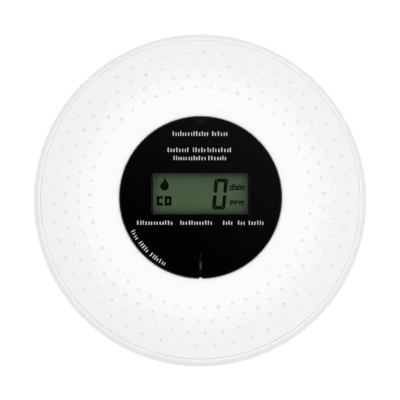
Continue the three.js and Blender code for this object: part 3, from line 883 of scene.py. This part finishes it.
# Each row of words: bottom, top, and where each word starts and ends.
PRINT_ROWS = (
    (24.0, 25.8, ((-10.9, 3.6), (4.5, 10.9))),
    (17.65, 19.4, ((-12.9, -4.1), (-3.0, 1.7), (2.7, 12.1))),
    (14.5, 16.15, ((-10.6, 2.0), (3.0, 10.6))),
    (-10.8, -9.2, ((-24.8, -10.5), (-7.9, 5.3), (8.8, 12.4), (14.6, 17.6), (18.8, 24.9))),
)
ARC_PRINT_R = 29.5
# Each word of the arc: the angle of its middle and half its span, in degrees.
ARC_WORDS = ((209.8, 3.5), (221.4, 4.7), (235.8, 6.9))
ARC_PRINT_HEIGHT = 1.7
BAR_WIDTH = (0.34, 0.48)
BAR_SPACE = (0.52, 0.8)
TALL_SHARE = 0.3
SHORT_BAR = 0.74


def word_blocks(width, height, draw):
    """Upright bars that stand for one word: (start, end, height) along the line."""
    blocks = []
    x = 0.0
    while x < width - 0.3:
        end = x + draw.uniform(*BAR_WIDTH)
        tall = draw.random() < TALL_SHARE or x == 0.0
        blocks.append((x, end, height if tall else SHORT_BAR * height))
        x = end + draw.uniform(*BAR_SPACE)
    return blocks


def printed_block(x0, x1, y0, y1, place=Matrix()):
    """One block of print, standing just proud of the panel's dome."""
    centre = place @ Vector(((x0 + x1) / 2, (y0 + y1) / 2, 0))
    surface = crown(Vector(centre[:2]).length)
    shape = prism(rectangle(x0, x1, y0, y1, 0.12, 2), surface - PRINT_SINK, surface + PRINT_RISE)
    return moved(shape, place)


def panel_print():
    """Rows of bars in place of the panel's words, and one arc of them."""
    draw = random.Random(7)
    blocks = []
    for low, high, words in PRINT_ROWS:
        for start, end in words:
            for x0, x1, height in word_blocks(end - start, high - low, draw):
                blocks.append(printed_block(start + x0, start + x1, low, low + height))
    height = ARC_PRINT_HEIGHT
    for centre, half in ARC_WORDS:
        length = ARC_PRINT_R * math.radians(2 * half)
        for x0, x1, tall in word_blocks(length, height, draw):
            angle = math.radians(centre - half) + (x0 + x1) / 2 / ARC_PRINT_R
            place = Matrix.Rotation(angle + math.pi / 2, 4, "Z")
            foot = -ARC_PRINT_R - height / 2
            blocks.append(printed_block(-(x1 - x0) / 2, (x1 - x0) / 2, foot, foot + tall, place))
    return gathered(blocks)


piece("panel_printing", panel_print(), "test_button", print_white)


# ---------------- readout

FIELD_Z = (31.2, 31.42)
MARK_Z = (31.35, 31.5)
FIELD_INSET = (0.6, 1.1)
DIGIT_CENTRE = (7.6, 1.48)
DIGIT_HALF = (2.6, 6.08)
DIGIT_STROKE = 1.4
DIGIT_SLANT = math.tan(math.radians(5.3))
THICK_STROKE = 0.5  # half the width of a stroke
THIN_STROKE = 0.22


def digit_zero():
    """The six lit bars of a slanted seven-bar nought."""
    w, h = DIGIT_HALF
    s = DIGIT_STROKE
    mitre, middle = 0.16, 0.42
    bars = []
    for side in (-1, 1):
        x_out, x_in = side * w, side * (w - s)
        for up in (-1, 1):
            bars.append([(x_out, up * (h - 0.45)), (x_out - side * 0.25, up * (h - mitre)),
                         (x_in, up * (h - s - mitre)), (x_in, up * (middle + 0.35)),
                         (side * (w - s / 2), up * middle), (x_out, up * (middle + 0.35))])
        bars.append([(-w + 0.5, side * h), (w - 0.5, side * h), (w - s + mitre * 0.3, side * (h - s)),
                     (-w + s - mitre * 0.3, side * (h - s))])
    x0, y0 = DIGIT_CENTRE
    return [[(x0 + x + y * DIGIT_SLANT, y0 + y) for x, y in bar_points] for bar_points in bars]


def flame():
    """A flame with one side tongue."""
    return smooth_loop([(-14.25, 8.0), (-13.6, 6.9), (-12.75, 5.75), (-12.47, 4.5), (-12.9, 3.4),
                        (-14.0, 2.85), (-15.2, 3.2), (-15.85, 4.3), (-15.7, 5.2), (-15.15, 6.3),
                        (-15.0, 5.6), (-14.75, 6.0), (-14.5, 6.9)])


def strokes(points, half):
    """Straight bars along a list of points, with square ends."""
    bars = []
    for a, b in zip(points, points[1:]):
        a, b = Vector(a), Vector(b)
        along = (b - a).normalized() * half
        side = Vector((-along.y, along.x))
        start, end = a - along, b + along
        bars.append([tuple(p) for p in (start - side, end - side, end + side, start + side)])
    return bars


def readout_symbols():
    """The gas symbol in block strokes and the two thin unit symbols, as lists of bars."""
    low, high = -2.56, 0.09
    open_box = [(-15.25, high), (-16.7, high), (-16.7, low), (-15.25, low)]
    closed_box = [(-13.55, high), (-11.9, high), (-11.9, low), (-13.55, low), (-13.55, high)]
    bars = strokes(open_box, THICK_STROKE) + strokes(closed_box, THICK_STROKE)

    def box_stroke(x0, x1, y0, y1):
        return [(x0, y0), (x1, y0), (x1, y1), (x0, y1), (x0, y0)]

    low, mid, high = 3.2, 4.5, 5.25
    unit = [box_stroke(11.6, 12.6, low, mid), [(12.6, mid), (12.6, high)],
            box_stroke(13.3, 14.3, low, mid), [(13.3, mid), (13.3, high)],
            [(14.7, low), (15.2, high)],
            [(15.6, low), (15.6, mid), (17.1, mid), (17.1, low)], [(16.35, mid), (16.35, low)]]
    base, top = -2.9, -1.25
    half_way = (base + top) / 2
    for x in (11.8, 13.6):
        unit.append([(x, base), (x, top), (x + 1.1, top), (x + 1.1, half_way), (x, half_way)])
    unit.append([(15.4, base), (15.4, top), (16.0, half_way + 0.2), (16.6, top), (16.6, base)])
    for line in unit:
        bars += strokes(line, THIN_STROKE)
    return bars


def readout_marks():
    return gathered([prism(outline, *MARK_Z) for outline in [flame()] + digit_zero() + readout_symbols()])


glass = prism(rectangle(GLASS_LOW.x, GLASS_HIGH.x, GLASS_LOW.y, GLASS_HIGH.y, 0.2), GLASS_LOW.z,
              FIELD_Z[1] - 0.1, 0.08)
piece("readout_glass", glass, "alarm", lcd_border, ["lcd_glass"])
side_inset, end_inset = FIELD_INSET
field = window_outline(side_inset, side_inset, end_inset, 0.1)
piece("readout_field", prism(field, *FIELD_Z), "alarm", lcd_field)
piece("readout_marks", readout_marks(), "alarm", lcd_mark)


# ---------------- springs, cells and screws

BOARD_TOP = 27.0
SPRING_LENGTH = 4.5
SPRING_CIRCLE_R = 27
CONTACT_WALL_X = 19
CELL_Z = 15.5
# Each cell's place along Y, and its turn about Z: the two lie head to tail.
CELL_ROWS = ((-10.6, 0), (-28.6, math.pi))
# Profiles along a cell: radius, distance along it, and the corner's radius.
SLEEVE_PROFILE = ((0, -16.8, 0), (7.2, -16.8, 0), (8.4, -16.8, 0.7), (8.4, 15.8, 0.7), (6.6, 15.8, 0),
                  (0, 15.8, 0))
NIPPLE_PROFILE = ((0, -17.9, 0), (3.2, -17.9, 0.4), (3.2, -16.95, 0), (6.6, -16.95, 0.1), (6.6, -16.7, 0),
                  (0, -16.7, 0))
BASE_PROFILE = ((0, 15.7), (6.2, 15.7), (6.0, 16.0), (0, 16.0))


def coil(start_r, end_r, turns, length, wire, steps=24):
    """A round wire coiled along Z from one radius to another, within a length."""
    count = turns * steps
    points = []
    for i in range(count + 1):
        share = i / count
        radius = start_r + (end_r - start_r) * share
        points.append(Vector(polar(radius, TAU * turns * share, wire + share * (length - 2 * wire))))
    return sweep(points, wire)


for number, degrees in enumerate((0, 120, 240), 1):
    x, y, _ = polar(SPRING_CIRCLE_R, math.radians(degrees), 0)
    wound = moved(coil(2, 2, 5, SPRING_LENGTH, 0.3), Matrix.Translation((x, y, BOARD_TOP)))
    spring = piece(f"return_coil_{number}", wound, "alarm", spring_steel,
                   [f"return_spring_{number}"], even=False)
    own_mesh(spring)


def along_cell(profile, segments=72):
    """A profile of (radius, distance along X) turned about X."""
    return moved(revolve(profile, segments), Matrix.Rotation(math.pi / 2, 4, "Y"))


for number, (y, turn) in enumerate(CELL_ROWS, 1):
    holder = Matrix.Translation((0, y, CELL_Z)) @ Matrix.Rotation(turn, 4, "Z")
    sleeve = along_cell(rounded(SLEEVE_PROFILE))
    ends = gathered([along_cell(rounded(NIPPLE_PROFILE), 48), along_cell(BASE_PROFILE, 48)])
    contact = coil(4, 2, 3, 2.6, 0.35)
    moved(contact, Matrix.Translation((CONTACT_WALL_X, 0, 0)) @ Matrix.Rotation(-math.pi / 2, 4, "Y"))
    piece(f"cell_sleeve_{number}", moved(sleeve, holder), "alarm", cell_film,
          [f"battery_cell_{number}"])
    piece(f"cell_ends_{number}", moved(ends, holder), "alarm", nickel)
    piece(f"contact_coil_{number}", moved(contact, holder), "alarm", spring_steel,
          [f"contact_spring_{number}"])


CASE_SCREW_Z = 5.6


def pan_head_screw():
    """A cross-recessed screw that points along +Z, with its head's face at z = 0."""
    head_r, head_z, thread_r, core_r, pitch, end = 2.8, 1.9, 1.4, 1.1, 1.2, 15
    threads = []
    for i in range(8):
        z = head_z + 1.5 + i * pitch
        threads += [(core_r, z), (thread_r, z + pitch / 2)]
    profile = rounded([(0, 0, 0), (1.6, 0, 0), (2.5, 0.35, 0), (head_r, 1.1, 0.4), (head_r, head_z, 0.1)])
    profile += [(core_r, head_z)] + threads + [(core_r, end - 1.4), (0, end)]
    cross = [bar(-1.5, 1.5, -0.38, 0.38, -1, 0.9), bar(-0.38, 0.38, -1.5, 1.5, -1, 0.9)]
    return carved(revolve(profile, 48), (), cross)


for number, (x, y) in enumerate(CORNERS, 1):
    screw = moved(turned(pan_head_screw(), 23 * number), Matrix.Translation((x, y, CASE_SCREW_Z)))
    piece(f"case_screw_{number}", screw, "alarm", nickel, [f"housing_screw_{number}"])


# ---------------- rating label

LABEL_HEADING = (-18, -4, 25.2, 27.6)
LABEL_ROWS = 7
LABEL_ROW_TOP, LABEL_ROW_STEP, LABEL_ROW_HEIGHT = 22.6, 2.1, 0.9
LABEL_FRAME = ((10, 18, 10, 10.4), (10, 18, 17.6, 18), (10, 10.4, 10.3, 17.7), (17.6, 18, 10.3, 17.7))


def label_print():
    """Greeked rows of short bars and one empty frame, on the label's wall side."""
    draw = random.Random(11)
    face = (LABEL_LOW.z + 0.01, LABEL_LOW.z + 0.06)
    rows = [prism(rectangle(*LABEL_HEADING, 0.3), *face)]
    for row in range(LABEL_ROWS):
        y = LABEL_ROW_TOP - row * LABEL_ROW_STEP
        x = -18.0
        while x < 6:
            end = x + draw.uniform(1.6, 5.2)
            rows.append(prism(rectangle(x, min(end, 8), y, y + LABEL_ROW_HEIGHT, 0.2), *face))
            x = end + 0.8
    rows += [prism(rectangle(*sides), *face) for sides in LABEL_FRAME]
    return gathered(rows)


film = prism(rectangle(LABEL_LOW.x, LABEL_HIGH.x, LABEL_LOW.y, LABEL_HIGH.y, 1.5), LABEL_LOW.z + 0.03,
             LABEL_HIGH.z)
piece("rating_label_film", film, "alarm", label_film, ["rating_label"])
piece("rating_label_printing", label_print(), "alarm", print_dark)


# ---------------- nodes that keep their shape

NODE_MATERIALS = (
    (part_black, ("button_carrier", "switch_stem", "lcd_frame", "test_switch", "microcontroller", "capacitor",
                  "smoke_chamber_cap", "smoke_chamber_base", "horn_resonator")),
    (circuit_board(), ("circuit_board",)),
    (pale_plastic, ("lcd_backlight", "co_sensor_body")),
    (grey_rubber, ("lcd_connector_strip",)),
    (red_resin, ("led_smoke",)),
    (clear_resin, ("led_status", "infrared_emitter", "photodiode")),
    (screen_mesh(), ("insect_screen",)),
    (bright_brass, ("piezo_disc", "horn_contact_1", "horn_contact_2")),
    (nickel, ("co_sensor_cap", "contact_plate_1", "contact_plate_2", "board_screw_1", "board_screw_2",
              "board_screw_3", "board_screw_4")),
)
for material, names in NODE_MATERIALS:
    for name in names:
        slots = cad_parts[name].data.materials
        slots.clear()
        slots.append(material)


# ---------------- floor, light and camera

# The floor's reach and drop are in metres.
FLOOR_REACH = 4.0
FLOOR_DROP = 0.0001
FLOOR_TONE = 0.5
FLOOR_GLOW = 0.53


def floor():
    """A pale lit table. It can't be seen from below, so that views from under it show the object."""
    nodes = Nodes("floor_white")
    nodes.colour(nodes.noise(60), (FLOOR_TONE - 0.01,) * 3, (FLOOR_TONE,) * 3)
    nodes.set(Roughness=0.9, Specular_IOR_Level=0.0, Emission_Color=(1, 1, 1, 1),
              Emission_Strength=FLOOR_GLOW)
    clear = nodes.add("ShaderNodeBsdfTransparent")
    facing = nodes.add("ShaderNodeNewGeometry")
    mix = nodes.add("ShaderNodeMixShader")
    nodes.link(facing.outputs["Backfacing"], mix.inputs["Fac"])
    nodes.link(nodes.shader.outputs["BSDF"], mix.inputs[1])
    nodes.link(clear.outputs["BSDF"], mix.inputs[2])
    nodes.link(mix.outputs["Shader"], nodes.output.inputs["Surface"])
    bm = bmesh.new()
    corners = ((-1, -1), (1, -1), (1, 1), (-1, 1))
    bm.faces.new([bm.verts.new((x * FLOOR_REACH, y * FLOOR_REACH, -FLOOR_DROP)) for x, y in corners])
    mesh = bpy.data.meshes.new("floor")
    bm.to_mesh(mesh)
    bm.free()
    mesh.materials.append(nodes.material)
    obj = bpy.data.objects.new("floor", mesh)
    bpy.context.scene.collection.objects.link(obj)


# The studio's light by height: 1 is straight up, 0 the horizon, -1 straight down.
SKY = ((-1.0, 0.9), (-0.05, 0.5), (0.0, 0.3), (0.25, 0.4), (0.45, 0.6), (0.6, 1.3), (0.766, 2.2),
       (0.883, 3.3), (0.906, 0.01), (1.0, 0.005))
SKY_PEAK = 3.3
SKY_STRENGTH = 3.08
SKY_SIDE = 0.07
# A weak glow on the ceiling that rises towards one side: its direction, its start and end, and its light.
GLOW_ALONG = (0.6, 1, 0)
GLOW_SPAN = (0.03, 0.125)
GLOW_LIGHT = 0.12
# What stands behind the object where the view runs past the floor.
BACKDROP_LIGHT = 0.9


def studio_light():
    """A round soft light overhead with a dark middle, so that the gloss panel mirrors a dark ceiling."""
    world = bpy.data.worlds.new("studio")
    bpy.context.scene.world = world
    world.use_nodes = True
    nodes = Tree(world.node_tree)
    add, link = nodes.add, nodes.link
    place = add("ShaderNodeTexCoord").outputs["Generated"]

    split = add("ShaderNodeSeparateXYZ")
    height = add("ShaderNodeMapRange", {"From Min": -1})
    ramp = add("ShaderNodeValToRGB")
    stops = ramp.color_ramp.elements
    while len(stops) < len(SKY):
        stops.new(0.5)
    for stop, (level, light) in zip(stops, SKY):
        stop.position = (level + 1) / 2
        stop.color = (light / SKY_PEAK,) * 3 + (1,)
    side = add("ShaderNodeMath", {1: -SKY_SIDE * SKY_STRENGTH, 2: SKY_STRENGTH}, operation="MULTIPLY_ADD")
    sky = world.node_tree.nodes["Background"]
    link(place, split.inputs["Vector"])
    link(split.outputs["Z"], height.inputs["Value"])
    link(height.outputs["Result"], ramp.inputs["Fac"])
    link(ramp.outputs["Color"], sky.inputs["Color"])
    link(split.outputs["Y"], side.inputs[0])
    link(side.outputs["Value"], sky.inputs["Strength"])

    along = add("ShaderNodeVectorMath", {1: GLOW_ALONG}, operation="DOT_PRODUCT")
    start, end = GLOW_SPAN
    glow = add("ShaderNodeMapRange", {"From Min": start, "From Max": end, "To Max": GLOW_LIGHT})
    ceiling = add("ShaderNodeBackground")
    link(place, along.inputs[0])
    link(along.outputs["Value"], glow.inputs["Value"])
    link(glow.outputs["Result"], ceiling.inputs["Strength"])

    both = add("ShaderNodeAddShader")
    link(sky.outputs["Background"], both.inputs[0])
    link(ceiling.outputs["Background"], both.inputs[1])
    backdrop = add("ShaderNodeBackground", {"Strength": BACKDROP_LIGHT})
    seen = add("ShaderNodeMixShader")
    link(add("ShaderNodeLightPath").outputs["Is Camera Ray"], seen.inputs["Fac"])
    link(both.outputs["Shader"], seen.inputs[1])
    link(backdrop.outputs["Background"], seen.inputs[2])
    link(seen.outputs["Shader"], world.node_tree.nodes["World Output"].inputs["Surface"])


# The camera's direction from its target, its distance in metres, and the target in millimetres.
CAMERA_BACK = (-0.0080, -0.0560, 1)
CAMERA_DISTANCE = 1.2
CAMERA_TARGET = (-0.1, -0.03, 16.5)
CAMERA_LENS = 272
CAMERA_SENSOR = 36


def add_camera():
    """A long lens almost straight in front of the alarm, a little below its middle."""
    data = bpy.data.cameras.new("camera")
    data.sensor_width = CAMERA_SENSOR
    data.lens = CAMERA_LENS
    camera = bpy.data.objects.new("camera", data)
    bpy.context.scene.collection.objects.link(camera)
    back = Vector(CAMERA_BACK).normalized()
    right = Vector((0, 1, 0)).cross(back).normalized()
    turn = Matrix((right, back.cross(right), back)).transposed()
    place = Vector(CAMERA_TARGET) * MM + back * CAMERA_DISTANCE
    camera.matrix_world = Matrix.Translation(place) @ turn.to_4x4()
    bpy.context.scene.camera = camera


floor()
studio_light()
add_camera()
bpy.context.scene.view_settings.view_transform = "Standard"
